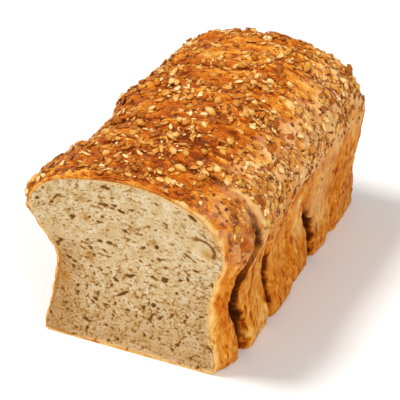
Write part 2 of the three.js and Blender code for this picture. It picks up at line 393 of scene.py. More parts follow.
# Painted shade in valleys, folds, clefts and at the feet of crags, and painted highlight on fibre tops,
# ridges and crag tops.
CLOUD_BAKED, SPOT_BAKED, VALLEY_SHADE = (0.07, 0.12), 0.07, (0.15, 0.10)
FIBRE_TOP_LIGHT, FIBRE_TOPS, RIDGE_LIGHT, SMOOTH_PALE = 0.14, (0.22, 0.6), 0.27, 0.05
CRAG_FOOT_SHADE, CRAG_FEET, CRAG_TOP_LIGHT, CRAG_TOPS = 0.16, (0.2, 0.03), 0.26, (0.25, 0.7)
FOLD_SHADE, CLEFT_SHADE = (0.22, 0.36), 0.42

# Painted glints as pale specks on the right shoulder, thickest on its lumps and behind the first cleft.
GLINT_PART, GLINT_STATIONS, GLINT_FRONT = [("across", 34, 54), ("up", 58, 80)], (36, 48), (0.5, 1.0)
GLINT_LUMPS, GLINT_LOW = (-0.25, 0.25), (0.1, 1.0)


def tube_stations():
    """Stations of the rows, closer together at the clefts and over the heel."""

    def weight(station):
        close = sum(bell(station - at, CLEFT_CROWD_WIDTHS * width) for at, width, *_ in CLEFTS)
        past = np.clip((station - LENGTH + HEEL_DEPTH) / HEEL_DEPTH, 0, HEEL_CROWD_END)
        return 1 + CLEFT_CROWD * close + HEEL_CROWD * (1 / np.sqrt(1 - past * past) - 1)

    return spaced(0, LENGTH, TUBE_ROWS, weight)


def column_turns():
    """Turns of the columns, evenly spaced round the section and sparse under the sole."""

    def weight(turn):
        (_, z), (dx, dz) = section(turn, np.full(len(turn), COLUMN_STATION))
        return np.hypot(dx, dz) * np.where(z < SOLE_UP, SOLE_CROWD, 1)

    return spaced(0, 1, CRUST_COLUMNS + 1, weight)[:-1]


def bare_shell(stations, turns):
    """The crust without its relief, in rows from the cut to the heel's apex, and each point's station."""
    tube = crust_points(turns[None, :], stations[:, None]).reshape(TUBE_ROWS, CRUST_COLUMNS, 3)
    share = np.linspace(1, 0, HEEL_ROWS + 1)[1:, None, None]
    apex = np.array([along(SHIFT, LENGTH), LENGTH + HEEL_DOME, HEEL_MIDDLE])
    heel = apex + share * (tube[-1][None] - apex)
    shell = np.concatenate([tube, heel])
    station = np.concatenate([stations, np.full(HEEL_ROWS, LENGTH)])[:, None] + np.zeros(CRUST_COLUMNS)
    shell[..., 0] -= along(LEFT_BULGE, station) * within(LEFT_SHOULDER, shell, station)
    wander = LEFT_WANDER * noise_at(shell, *LEFT_WAVES)
    shell[..., 1] += wander * within(LEFT_CLEFTS, shell, station)
    return shell, station


def cleft_shades(points, station):
    """Painted shadow in the open clefts, pale torn dough, and the fold of a cleft over the crown, as shares
    at each point.
    """
    x, z = points[..., 0], points[..., 2]
    deep, torn, fold = (np.zeros(points.shape[:2]) for _ in range(3))
    wander, ragged = noise_at(points, *CLEFT_WAVES), noise_at(points, *CLEFT_RAGS)
    for (at, width, _, right, left), (right_up, left_up) in zip(CLEFTS, SHADE_UP):
        past = station - at + along(SHADOW_RAGGED, z) * ragged
        reach = width * along(SHADOW_REACH, z)
        soft, end = (share * reach for share in SHADOW_EDGE)
        shadow = np.where(past > 0, 1 - ease(past, soft, end), bell(past, width))
        shadow = shadow * ease(np.where(x > 0, right[0], left[0]), 0, DARK_DEPTH)
        above = z - np.where(x > 0, right_up, left_up)
        deep = np.maximum(deep, shadow * (1 - ease(above, *SHADE_END)) * along(SHADE_TONE, z))
        fold = np.maximum(fold, ease(z, *FOLD_UP) * bell(past + FOLD_WANDER * wander, FOLD_HALF))
    for first, high, last, low, half, pale in TORN:
        t = np.clip((high - z) / (high - low), 0, 1)
        ends = ease(z - low, *TORN_FOOT) * (1 - ease(z - high, *TORN_HEAD)) * (x > 0)
        off = station - first - (last - first) * t + TORN_WANDER * wander
        torn = np.maximum(torn, pale * ends * bell(off, half))
    patches = ease(noise_at(points * FIBRE_STRETCH, *TORN_FIBRES), *TORN_PATCHES)
    return deep, torn * mix(TORN_PATCHY, patches) * (1 - deep), fold


def smooth_places(points):
    """How smooth the crown is at each point: glazed dough between the craggy, seeded places."""
    smooth = SMOOTH_MOST * ease(noise_at(points, *SMOOTH_SPOTS), *SMOOTH_PATCHES)
    for station, across, radius in SMOOTH:
        away = np.hypot(points[..., 1] - station, points[..., 0] - across)
        smooth = np.maximum(smooth, 1 - ease(away, SMOOTH_CORE * radius, radius))
    return smooth


def crust_shades(shell, station):
    """What the crust is like at each point, as shares from 0 to 1."""
    deep, torn, fold = cleft_shades(shell, station)
    crown = ease(shell[..., 2], *CROWN_UP)
    return {"crown": crown, "deep": deep, "torn": torn, "fold": fold, "smooth": smooth_places(shell)}


def crust_relief(shell, out, station, shades):
    """Lumps, crags, ridges, and fibres of stretched dough: across the crown and down the walls."""
    crown, smooth = shades["crown"], shades["smooth"]
    lump = noise_at(shell, *LUMPS)
    wavy = shell + FIBRE_SWING * noise_at(shell, *FIBRE_WAVES)[..., None]
    over = np.abs(noise_at(wavy * FIBRE_STRETCH, *CROWN_FIBRES))
    wavy[..., 1] += WALL_SLANT * shell[..., 2] * (1 - crown)
    down = np.abs(noise_at(wavy * WALL_STRETCH, *WALL_FIBRES))
    behind = np.abs(noise_at(shell, *HEEL_FIBRES))
    fibre = mix((mix((down, over), crown), behind), ease(out[..., 1], *HEEL_FACING))
    strand = np.abs(noise_at(wavy * WALL_STRETCH, *STRANDS))
    ridge = noise_at(wavy * RIDGE_STRETCH, *RIDGES) * crown
    crag = np.abs(noise_at(shell * CRAG_STRETCH, *CRAGS)) * crown
    crag = crag * (1 - shades["torn"]) * (1 - SMOOTH_CALM * smooth)
    lift = mix(LUMP_HEIGHT, crown) * lump + mix(FIBRE_HEIGHT, crown) * fibre + STRAND_HEIGHT * strand
    lift = lift - FOLD_DEPTH * shades["fold"] + CRAG_HEIGHT * crag + RIDGE_HEIGHT * ridge
    lift = (lift - mix(RELIEF_LEVEL, crown)) * ease(shell[..., 2], *RELIEF_UP)
    lift = lift * (1 - DEEP_CALM * shades["deep"])
    lift = np.maximum(lift, mix(LOWEST, ease(station, *LOWEST_STATIONS)))
    return lift, {"lump": lump, "fibre": fibre, "ridge": ridge, "crag": crag}


def crust_bake_and_shade(shell, station, shades, relief):
    """How far each point is baked, with the shade and highlight painted on its relief and clefts, and its
    painted glints.
    """
    crown, smooth = shades["crown"], shades["smooth"]
    fibre, crag = relief["fibre"], relief["crag"]
    surfaces = {"crown": crown, "walls": 1 - crown, "all": 1}
    tan = mix(BAKED, crown)
    for more, surface, part in BAKED_PARTS:
        tan = tan + more * surfaces[surface] * within(part, shell, station)
    tan = tan + mix(CLOUD_BAKED, crown) * noise_at(shell, *BAKED_CLOUDS)
    tan = tan + SPOT_BAKED * noise_at(shell, *BAKED_SPOTS)
    # Painted shade in the fibres' valleys and at the crags' feet, and painted highlight on fibre tops, crag
    # tops and ridges.
    tan = tan + mix(VALLEY_SHADE, crown) * ease(fibre, *VALLEY_FLOOR) - FIBRE_TOP_LIGHT * ease(fibre, *FIBRE_TOPS)
    crag_light_and_shade = CRAG_FOOT_SHADE * ease(crag, *CRAG_FEET) - CRAG_TOP_LIGHT * ease(crag, *CRAG_TOPS)
    tan = tan + crag_light_and_shade * crown * (1 - smooth)
    tan = tan - RIDGE_LIGHT * relief["ridge"] - SMOOTH_PALE * smooth * crown
    # Painted shade in the folds, and painted shadow in the clefts.
    tan = tan + mix(FOLD_SHADE, smooth) * shades["fold"] + CLEFT_SHADE * shades["deep"]
    # Painted glints on the right shoulder.
    painted_glints = within(GLINT_PART, shell, station) * mix(GLINT_LOW, ease(relief["lump"], *GLINT_LUMPS))
    painted_glints = painted_glints * (1 - shades["torn"]) * mix(GLINT_FRONT, ease(station, *GLINT_STATIONS))
    return tan, painted_glints


def seat_rows(rim):
    """Rows that close the crust behind the crumb: from the middle of its seat out to the crust's edge."""
    back = np.array([0, RECESS, 0])
    edge = rim - unit(rim - CRUMB_MIDDLE) * CRUST_EDGE
    middle = np.zeros_like(rim) + CRUMB_MIDDLE + back
    sunk = edge + back
    return np.stack([middle, (middle + sunk) / 2, sunk, edge])


def make_crust(material):
    stations, turns = tube_stations(), column_turns()
    bare, station = bare_shell(stations, turns)
    out = lattice_normals(bare)
    shades = crust_shades(bare, station)
    lift, relief = crust_relief(bare, out, station, shades)
    shell = bare + out * lift[..., None]
    shell[..., 2] = np.maximum(shell[..., 2], 0)
    shell[0, :, 1] = 0
    shell[-1] = bare[-1]
    shades["tan"], shades["painted_glints"] = crust_bake_and_shade(shell, station, shades, relief)

    seat = seat_rows(bare[0])
    values = {}
    for name in ("tan", "deep", "torn", "crown", "painted_glints"):
        values[name] = np.concatenate([np.repeat(shades[name][:1], len(seat), axis=0), shades[name]])
    bm, mesh = bent_grid("loaf_crust", np.concatenate([seat, shell]), values, True)
    finish_piece(bm, mesh, material)
    # Seeds lie half way between the loaf's form and its relief.
    return {
        "points": shell,
        "out": unit(out + lattice_normals(shell)),
        "stations": stations,
        "turns": turns,
        "bare": np.maximum(shades["deep"], shades["torn"]),
        "smooth": shades["smooth"],
    }


# The cut crumb

CRUMB_CELLS = 296
# Turns round the section where the lattice of squares has its corners.
CORNERS = [place / len(OUTLINE) for place in (2.0, 5.7, 10.5, 15.0, 19.0)]

# The crumb's layers arch under the crown.
LAYER_ARCH, LAYER_ARCH_POWER = 0.008, 1.5
# Pores: bubbles torn open, as size, how many bubbles are open, and depth. Their noise is turned so that its
# own grid doesn't show in the layers.
PORES = [(3.4, 0.20, 1.9), (1.9, 0.27, 1.5), (0.95, 0.28, 0.9)]
PORE_TURN = np.array(Matrix.Rotation(math.radians(33), 3, "Y"))
PORE_OCTAVES, PORE_SEED, PORE_WALL = 2, 20, (0.5, 1.0)
# They are drawn out and fewer in the upper crumb, and crowd in patches.
PORE_DRAWN, PORE_DRAWN_UP = (1.0, 0.65), (25, 70)
PORE_MORE, PORE_MORE_UP, PORE_CROWD = (0.13, 0.03), (35, 80), 0.16
# Large hollows of the cut face: place across, place up, half length, half height, tilt in degrees, and depth.
HOLLOWS = [
    (23.9, 53.7, 2.2, 2.0, 0, 2.2),
    (-1.7, 37.8, 5.2, 0.9, 34, 2.0),
    (40.7, 97.2, 3.4, 1.3, -32, 1.9),
    (-5.8, 92.9, 2.0, 0.9, -8, 1.6),
    (-1.5, 90.2, 2.8, 1.0, -14, 1.9),
    (-14.9, 68.2, 2.0, 1.0, 0, 1.7),
    (-9.1, 68.3, 2.4, 1.1, -6, 1.9),
    (-12.3, 62.8, 2.0, 0.9, -30, 1.6),
    (19.5, 73.5, 1.6, 1.5, 0, 1.8),
    (37.8, 58.0, 1.0, 1.9, 10, 1.6),
    (52.4, 58.4, 1.0, 2.0, 20, 1.6),
    (17.1, 35.6, 2.0, 1.6, 40, 1.8),
    (-18.9, 29.5, 2.0, 1.4, -20, 1.8),
    (1.0, 27.6, 2.0, 1.0, 10, 1.6),
]
# Painted shade in the hollows for their depth, and how ragged they are.
HOLLOW_SHADE, HOLLOW_RAGGED = 1.5, 0.35
# A smooth pocket under the right shoulder, of the same form, with painted shadow along its upper edge and a
# glow in it.
POCKET = (46.6, 79.4, 8.6, 6.1, -20, 1.6)
POCKET_EDGE, POCKET_EDGE_HALF, POCKET_EDGE_SHADOW, POCKET_EDGE_RAGGED = 0.85, 0.2, 1.7, 0.3
POCKET_EDGE_LONG, POCKET_EDGE_HIGH, POCKET_EDGE_FROM = 0.45, 0.9, (-0.3, 0.2)
GLOW_LONG, GLOW_HIGH, GLOW_REACH, GLOW_GOLD = 0.5, -0.35, (0.6, 0.1), 0.8
GLOW_ALL, GLOW_ALL_REACH = 0.25, (1.05, 0.8)
# Golden spots in the crumb: place across, place up, and radius.
GOLDEN = [(-25.4, 92.4, 3.2), (-23.2, 81.1, 3.0), (-21.3, 56.3, 5.0), (17, 75.5, 3.0), (-38, 40, 6.0)]
GOLDEN_CORE, GOLDEN_RAGGED = 0.3, 1.2
# Browner parts of the crumb: how brown, and where.
BROWN_PARTS = [
    (0.95, [("across", -12, -44), ("up", 84, 50)]),
    (0.6, [("up", 60, 5)]),
    (0.55, [("across", 16, 48), ("up", 66, 40)]),
]
# A brown border inside the crust below the left neck.
BORDER_PART, BORDER_BROWN, BORDER_REACH = [("across", -20, -36), ("up", 66, 54)], 1.6, (6.5, 1.5)
# The crumb lies this far behind the cut, rougher inside its edge, with pits of this share of their depth.
CRUMB_BEHIND, CRUMB_EDGE, PIT_SHARE = 0.1, 1.5, 0.5
GRAIN_HEIGHT, SWELL_HEIGHT = 0.16, 0.3

# Noise in the crumb: size in millimetres, octaves and seed.
PORE_PATCHES, HOLLOW_RAGS, POCKET_RAGS = (16, 2, 16), (1.6, 1, 24), (2.5, 2, 25)
CRUMB_GRAIN, CRUMB_SWELLS = (1.3, 2, 6), (6, 2, 7)
GOLDEN_RAGS, BORDER_RAGS = (3, 2, 8), (5, 2, 26)


def crumb_lattice():
    """Points of the cut face, in squares that grow from its middle, and how far each is from the outline."""
    steps = np.linspace(-1, 1, CRUMB_CELLS + 1)
    right, up = np.meshgrid(steps, steps)
    size = np.maximum(np.abs(right), np.abs(up))
    safe = np.where(size > 0, size, 1)
    right, up = right / safe, up / safe
    side = np.select([up <= -1, right >= 1, up >= 1], [0, 1, 2], 3)
    place = np.select([side == 0, side == 1, side == 2], [right, up, -right], -up) / 2 + 0.5
    corner = np.array([CORNERS[3] - 1, *CORNERS])
    turn = corner[side] + place * (corner[side + 1] - corner[side])
    (x, z), _ = section(turn.ravel(), np.zeros(turn.size))
    edge = np.stack([x, np.zeros_like(x), z], axis=-1).reshape(*turn.shape, 3)
    spoke = edge - CRUMB_MIDDLE
    reach = np.linalg.norm(spoke, axis=-1)
    inner = 1 - (CRUST_EDGE - CRUMB_LAP) / reach
    return CRUMB_MIDDLE + spoke * (size * inner)[..., None], reach * (1 - size * inner)


def crumb_layers(points):
    """Heights along the crumb's layers, which arch under the crown and hang down on both sides."""
    x, z = points[..., 0], points[..., 2]
    return z + LAYER_ARCH * x**2 * (z / TOP_UP) ** LAYER_ARCH_POWER


def in_oval(points, across, up, half_long, half_high, tilt):
    """Places of the points along and across a tilted oval, in shares of its half sizes."""
    cos, sin = math.cos(math.radians(tilt)), math.sin(math.radians(tilt))
    dx, dz = points[..., 0] - across, points[..., 2] - up
    return (dx * cos + dz * sin) / half_long, (dz * cos - dx * sin) / half_high


def crumb_pits(points):
    """Depth of the pores and hollows at each point of the cut face, and how much painted shade they take."""
    x, z = points[..., 0], points[..., 2]
    drawn_out = x * mix(PORE_DRAWN, ease(z, *PORE_DRAWN_UP))
    flow = np.stack([drawn_out, np.zeros_like(x), crumb_layers(points)], axis=-1) @ PORE_TURN
    crowd = PORE_CROWD * noise_at(points, *PORE_PATCHES) + mix(PORE_MORE, ease(z, *PORE_MORE_UP))
    depth = np.zeros_like(x)
    for i, (size, open_share, deep) in enumerate(PORES):
        bubble = noise_at(flow, size, PORE_OCTAVES, PORE_SEED + i) + crowd + open_share
        depth = np.maximum(depth, deep * ease(bubble, *PORE_WALL))
    dark = depth.copy()
    ragged = 1 + HOLLOW_RAGGED * noise_at(points, *HOLLOW_RAGS)
    for *oval, deep in HOLLOWS:
        lengthwise, upwards = in_oval(points, *oval)
        bowl = deep * ragged * np.sqrt(np.clip(1 - lengthwise**2 - upwards**2, 0, None))
        depth = np.maximum(depth, bowl)
        dark = np.maximum(dark, HOLLOW_SHADE * bowl)
    return depth, dark


def crumb_gold_and_shadow(points, lengthwise, upwards):
    """How golden each point is, in glazed spots and the glow of the pocket, with painted shadow on the
    pocket's upper edge.
    """
    gold_and_pocket_shadow = np.zeros_like(lengthwise)
    ragged = GOLDEN_RAGGED * noise_at(points, *GOLDEN_RAGS)
    for across, up, radius in GOLDEN:
        away = np.hypot(points[..., 0] - across, points[..., 2] - up) + ragged
        gold_and_pocket_shadow = np.maximum(gold_and_pocket_shadow, 1 - ease(away, GOLDEN_CORE * radius, radius))
    reach = np.hypot(lengthwise, upwards)
    above = POCKET_EDGE_HIGH * upwards + POCKET_EDGE_LONG * lengthwise
    # Painted shadow along the pocket's upper edge.
    edge = bell(reach - POCKET_EDGE, POCKET_EDGE_HALF) * ease(above, *POCKET_EDGE_FROM)
    edge = edge * (1 + POCKET_EDGE_RAGGED * noise_at(points, *POCKET_RAGS))
    glow = ease(np.hypot(lengthwise - GLOW_LONG, upwards - GLOW_HIGH), *GLOW_REACH)
    glow = glow + GLOW_ALL * ease(reach, *GLOW_ALL_REACH)
    return np.maximum(gold_and_pocket_shadow, np.maximum(POCKET_EDGE_SHADOW * edge, GLOW_GOLD * glow))


def crumb_brown(points, from_rim):
    """How brown each point is."""
    brown = np.zeros_like(from_rim)
    for most, part in BROWN_PARTS:
        brown = np.maximum(brown, most * within(part, points, 0))
    border = ease(from_rim - noise_at(points, *BORDER_RAGS), *BORDER_REACH)
    return np.maximum(brown, BORDER_BROWN * border * within(BORDER_PART, points, 0))


def make_crumb(material):
    points, from_rim = crumb_lattice()
    pits, dark = crumb_pits(points)
    *oval, deep = POCKET
    lengthwise, upwards = in_oval(points, *oval)
    reach = np.hypot(lengthwise, upwards)
    pits = np.where(reach < 1, deep * np.sqrt(np.clip(1 - reach**4, 0, None)), pits)
    dark = np.where(reach < 1, 0.0, dark)
    rough = GRAIN_HEIGHT * noise_at(points, *CRUMB_GRAIN) + SWELL_HEIGHT * noise_at(points, *CRUMB_SWELLS)
    inside = ease(from_rim, CRUST_EDGE, CRUST_EDGE + CRUMB_EDGE)
    points[..., 1] = np.maximum((PIT_SHARE * pits + rough) * inside + CRUMB_BEHIND, 0.0)
    values = {
        "pore_shade": dark,
        "rim": from_rim,
        "gold_and_pocket_shadow": crumb_gold_and_shadow(points, lengthwise, upwards),
        "brown": crumb_brown(points, from_rim),
        "layer": crumb_layers(points),
    }
    bm, mesh = bent_grid("cut_crumb", points, values, False)
    border = [e for e in bm.edges if e.is_boundary]
    made = bmesh.ops.extrude_edge_only(bm, edges=border)["geom"]
    for vertex in made:
        if isinstance(vertex, bmesh.types.BMVert):
            vertex.co.y = (SLAB - BOX_MIDDLE[1]) * MM
    back = [e for e in made if isinstance(e, bmesh.types.BMEdge)]
    bmesh.ops.triangle_fill(bm, use_beauty=True, edges=back)
    finish_piece(bm, mesh, material)


# Seeds and flakes

# The largest kernels of the crown, which are fused to the solid: how many, their size and its spread, how far
# they are sunk, where they lie, and where on the crown they may lie in a cleft.
KERNEL_COUNT, KERNEL_SIZE, KERNEL_SPREAD, KERNEL_SUNK = 150, (7.4, 4.6, 3.4), 0.22, 0.58
SEEDED_ROUND, SEEDED_STATION = (0.3, 0.655), (7.0, 196.0)
OPEN_CLEFT_ROUND, OPEN_CLEFT_WIDTHS = (0.37, 0.59), 2.4
EVEN_ROUND, EVEN_STATION = 0.7548776662, 0.569840291
DRAW_SEED, DRAW_FACTOR, DRAW_STEP, DRAW_RANGE = 20417, 1664525, 1013904223, 2**32

# How each shape departs from a ball: how far it narrows and from where, and how deep and wide its crease is.
KERNEL_TAPER, KERNEL_TAPER_FROM, KERNEL_CREASE, KERNEL_CREASE_HALF = 0.38, -0.2, 0.22, 0.3
FLAKE_FLAT, FLAKE_CREASE, FLAKE_CREASE_HALF, FLAKE_TURNED_UP = 0.8, 0.35, 0.25, 0.25
SEED_TAPER, SEED_TAPER_FROM = 0.55, 0.1

# Seeds are uneven, lean a little, stay above the sole, and are darker round their edges and undersides,
# browned and with painted shade where they meet the crust.
KERNEL_UNEVEN, SEED_UNEVEN = 0.1, 0.12
SEED_TILT, SEED_TILT_MOST = 0.2, 1.5
SEED_LOWEST = 0.05
EDGE_BROWN_AND_SHADE, EDGE_UP = 0.5, (0.75, -0.1)

# Where the seeds lie: off the clefts and torn dough, on the crown, and in clusters.
BARE_EDGE = (0.5, 0.05)
SEEDED_PART = [("along", 2, 5), ("along", 206, 198)]
SEEDED_CROWN, SEEDED_WALL = [("up", 68, 88)], [("up", 4, 40)]
FRONT_SHOULDER, RIGHT_SHOULDER = [("along", 36, 26), ("across", 34, 48)], [("across", 34, 50)]
CLUSTER_STRETCH = np.array([0.5, 1, 0.5])
CLUSTERS, CLUSTER_EDGE, CLUSTER_LEAST = (12, 2, 9), (-0.3, 0.45), 0.10
SMOOTH_BARE, FRONT_BARE = 0.75, 0.8
DARK_CLUSTERS, DARK_EDGE, DARK_LEAST, DARK_SHOULDER = (13, 2, 18), (0.15, 0.45), 0.03, 0.25
BRAN_CROWN, BRAN_SHOULDER, BRAN_WALL = 0.2, 0.6, 0.08
# Places drawn for each one that is kept.
SPARE_DRAWS = 3


def shaped_ball(sides, rings, shape):
    """Corners and triangles of a small ball, with its corners moved by a shape function."""
    bm = bmesh.new()
    bmesh.ops.create_uvsphere(bm, u_segments=sides, v_segments=rings, radius=1)
    bmesh.ops.rotate(bm, verts=bm.verts, matrix=Matrix.Rotation(math.pi / 2, 3, "Y"))
    bmesh.ops.triangulate(bm, faces=bm.faces)
    corners = np.array([v.co for v in bm.verts])
    faces = np.array([[v.index for v in f.verts] for f in bm.faces])
    bm.free()
    return np.stack(shape(*corners.T), axis=-1), faces


def kernel_shape(long, wide, high):
    """A hulled kernel: round at one end, drawn out to a blunt point at the other, with a crease on top."""
    taper = 1 - KERNEL_TAPER * ease(long, KERNEL_TAPER_FROM, 1.0)
    crease = KERNEL_CREASE * bell(wide, KERNEL_CREASE_HALF) * (high > 0)
    return long, wide * taper, (high - crease) * taper


def flake_shape(long, wide, high):
    """A rolled flake: flat, with a crease along its middle and turned-up ends."""
    crease = FLAKE_CREASE * bell(wide, FLAKE_CREASE_HALF) * (high > 0)
    return long, wide, FLAKE_FLAT * high - crease + FLAKE_TURNED_UP * long**2


def flat_seed_shape(long, wide, high):
    """A flat seed with one pointed end."""
    return long, wide * (1 - SEED_TAPER * ease(long, SEED_TAPER_FROM, 1.0)), high


# Kinds that are strewn: shape, sides and rings, how many, gap, smallest and largest size, and share sunk.
STREWN = {
    "oat_flakes": (flake_shape, (9, 6), 600, 2.5, (3.2, 2.2, 1.2), (7.0, 4.5, 2.4), 0.28),
    "sesame_seeds": (flat_seed_shape, (7, 5), 700, 1.7, (1.9, 1.3, 0.9), (3.8, 2.3, 1.6), 0.3),
    "linseeds": (flat_seed_shape, (7, 5), 420, 1.6, (2.4, 1.4, 0.8), (4.0, 2.2, 1.3), 0.42),
    "bran_flecks": (flake_shape, (6, 4), 1400, 1.4, (1.4, 0.9, 0.5), (3.4, 2.1, 1.2), 0.3),
}
KERNEL_SIDES = (9, 6)


def scatter(name, ball, frames, size, spin, sunk, uneven, rng):
    """Many small things as one mesh: each is turned, sized and half sunk where it lies."""
    corners, faces = ball
    place, across, out = frames
    count, per = len(place), len(corners)
    across = unit(across - out * np.sum(across * out, axis=1, keepdims=True))
    side = np.cross(out, across)
    long = across * np.cos(spin)[:, None] + side * np.sin(spin)[:, None]
    wide = np.cross(out, long)
    half = corners[None] * (1 + uneven * rng.standard_normal((count, per, 1))) * size[:, None, :] / 2
    lift = (0.5 - sunk) * size[:, 2]
    points = place[:, None] + out[:, None] * (lift[:, None, None] + half[..., 2:])
    points = points + long[:, None] * half[..., :1] + wide[:, None] * half[..., 1:2]
    points[..., 2] = np.maximum(points[..., 2], SEED_LOWEST)
    mesh = bpy.data.meshes.new(name)
    joined = (faces[None] + per * np.arange(count)[:, None, None]).reshape(-1, 3)
    mesh.from_pydata(to_frame(points.reshape(-1, 3)).tolist(), [], joined.tolist())
    # Painted shade on each seed's underside and edges, where it meets the crust, with its browning.
    browned_and_shaded = EDGE_BROWN_AND_SHADE * ease(corners[:, 2], *EDGE_UP)
    tone = (rng.uniform(0, 1, count)[:, None] - browned_and_shaded).ravel()
    mesh.attributes.new("tone", "FLOAT", "POINT").data.foreach_set("value", tone.astype(np.float32))
    bm = bmesh.new()
    bm.from_mesh(mesh)
    finish_piece(bm, mesh, seed_skin(name))


def spread(crust, count, gap, likely, rng):
    """Lattice places on the crust, drawn by likelihood and kept apart by a gap."""
    points = crust["points"][:TUBE_ROWS]
    row_step, column_step = (np.linalg.norm(np.gradient(points, axis=way), axis=-1) for way in (0, 1))
    chance = (likely[:TUBE_ROWS] * (row_step * column_step)).ravel()
    picks = rng.choice(len(chance), size=count * SPARE_DRAWS, replace=False, p=chance / chance.sum())
    flat = points.reshape(-1, 3)
    kept = []
    for pick in picks:
        if not kept or np.min(np.sum((flat[kept] - flat[pick]) ** 2, axis=1)) > gap**2:
            kept.append(int(pick))
        if len(kept) == count:
            break
    return np.array(kept)


def crust_frames(crust, picks):
    """At each pick: its place, the direction round the section, and the direction out of the crust."""
    lattices = (crust["points"], columns_apart(crust["points"]), crust["out"])
    return [lattice.reshape(-1, 3)[picks] for lattice in lattices]


def kernel_draws():
    """Where the largest kernels lie: an even spread with seeded sizes and turns."""
    state, rows = DRAW_SEED, []
    for i in range(1, KERNEL_COUNT + 1):
        draws = []
        for _ in range(2):
            state = (state * DRAW_FACTOR + DRAW_STEP) % DRAW_RANGE
            draws.append(state / DRAW_RANGE)
        turn = mix(SEEDED_ROUND, i * EVEN_ROUND % 1)
        station = mix(SEEDED_STATION, i * EVEN_STATION % 1)
        on_top = OPEN_CLEFT_ROUND[0] < turn < OPEN_CLEFT_ROUND[1]
        clear = all(abs(station - at) > OPEN_CLEFT_WIDTHS * width for at, width, *_ in CLEFTS)
        if on_top or clear:
            rows.append((turn, station, 1 + KERNEL_SPREAD * (2 * draws[0] - 1), math.pi * draws[1]))
    return np.array(rows).T


def seed_likelihoods(crust):
    """How likely each kind is to lie at each lattice point."""
    points = crust["points"]
    station = points[..., 1]
    clear = ease(crust["bare"], *BARE_EDGE) * within(SEEDED_PART, points, station)
    on_crown = clear * within(SEEDED_CROWN, points, station)
    shoulder = within(RIGHT_SHOULDER, points, station)
    patches = ease(noise_at(points * CLUSTER_STRETCH, *CLUSTERS), *CLUSTER_EDGE)
    clusters = on_crown * (CLUSTER_LEAST + patches) * (1 - SMOOTH_BARE * crust["smooth"])
    clusters = clusters * (1 - FRONT_BARE * within(FRONT_SHOULDER, points, station))
    dark_patches = ease(noise_at(points * CLUSTER_STRETCH, *DARK_CLUSTERS), *DARK_EDGE)
    dark = on_crown * (DARK_LEAST + DARK_SHOULDER * shoulder + dark_patches)
    bran = clusters + (BRAN_CROWN + BRAN_SHOULDER * shoulder) * on_crown
    bran = bran + BRAN_WALL * clear * within(SEEDED_WALL, points, station)
    return {"oat_flakes": clusters, "sesame_seeds": clusters, "linseeds": dark, "bran_flecks": bran}


def make_kernels(crust, rng):
    turn, station, scale, spin = kernel_draws()
    column = np.searchsorted(crust["turns"], turn) % CRUST_COLUMNS
    row = np.searchsorted(crust["stations"], station)
    frames = crust_frames(crust, row * CRUST_COLUMNS + column)
    size = np.array(KERNEL_SIZE) * scale[:, None]
    ball = shaped_ball(*KERNEL_SIDES, kernel_shape)
    scatter("grain_kernels", ball, frames, size, spin, KERNEL_SUNK, KERNEL_UNEVEN, rng)


def make_seeds(crust):
    rng = np.random.default_rng(DRAW_SEED + 1)
    make_kernels(crust, rng)
    likely = seed_likelihoods(crust)
    for name, (shape, sides, count, gap, low, high, sunk) in STREWN.items():
        picks = spread(crust, count, gap, likely[name], rng)
        size = rng.uniform(low, high, (len(picks), 3))
        spin = rng.uniform(0, math.pi, len(picks))
        place, across, out = crust_frames(crust, picks)
        tilt = np.clip(rng.standard_normal(out.shape), -SEED_TILT_MOST, SEED_TILT_MOST)
        frames = (place, across, unit(out + SEED_TILT * tilt))
        scatter(name, shaped_ball(*sides, shape), frames, size, spin, sunk, SEED_UNEVEN, rng)


# Materials

ADD, SUBTRACT, MULTIPLY = {"operation": "ADD"}, {"operation": "SUBTRACT"}, {"operation": "MULTIPLY"}
MULTIPLY_ADD = {"operation": "MULTIPLY_ADD"}
CLAMPED_ADD = {"operation": "MULTIPLY_ADD", "use_clamp": True}
COLOURS = {"data_type": "RGBA"}
SOFT_STEP = {"interpolation_type": "SMOOTHSTEP"}


def linear(hex_colour):
    """An sRGB hex colour as linear red, green, blue and alpha."""
    parts = [int(hex_colour[i : i + 2], 16) / 255 for i in (1, 3, 5)]
    return [p / 12.92 if p <= 0.04045 else ((p + 0.055) / 1.055) ** 2.4 for p in parts] + [1.0]


def add(tree, kind, settings=(), stops=(), **inputs):
    """A node with its settings and colour stops, and its inputs set to values or linked to sockets.

    An input goes by its name, or by its number after an underscore where a node's names repeat.
    """
    node = tree.nodes.new(kind)
    for key, value in dict(settings).items():
        setattr(node, key, value)
    for place, _ in stops[1:-1]:
        node.color_ramp.elements.new(place)
    for i, (place, colour) in enumerate(stops):
        node.color_ramp.elements[i].position = place
        node.color_ramp.elements[i].color = linear(colour)
    for key, value in inputs.items():
        socket = node.inputs[int(key[1:]) if key[1:].isdigit() else key.replace("_", " ")]
        if isinstance(value, bpy.types.NodeSocket):
            tree.links.new(value, socket)
        else:
            socket.default_value = value
    return node


def new_material(name):
    material = bpy.data.materials.new(name)
    material.use_nodes = True
    tree = material.node_tree
    return material, tree, tree.nodes["Principled BSDF"]


def per_mm(size):
    """A noise scale whose lumps are about this many millimetres across."""
    return 1 / (size * MM)


# Wheat crust, baked in a tin: its brown follows how far it is baked, with painted shade and highlight on its
# relief, from pale torn dough to painted shadow, nearly black, in the clefts, and painted glints on the right
# shoulder. The crown has a dull sheen, and the walls and clefts have almost none. Its grit is finer in life,
# and drawn this coarse to show.
CRUST_MOTTLE, CRUST_FIBRE, CRUST_GRIT, CRUST_DASH = 5, 1.9, 1.1, 2.6
CRUST_BROWNS = [
    (0.0, "#eec078"), (0.22, "#e09c3c"), (0.42, "#cd771a"),
    (0.62, "#b25305"), (0.82, "#923b02"), (1.0, "#672602"),
]
# Painted glints, pale torn dough, and painted shadow, nearly black, in the open clefts.
CRUST_TINTS = [("painted_glints", 0.8, "#eaba82"), ("torn", 0.85, "#f1d28b"), ("deep", 0.92, "#3d1604")]
CRUST_BUMP = 1.2


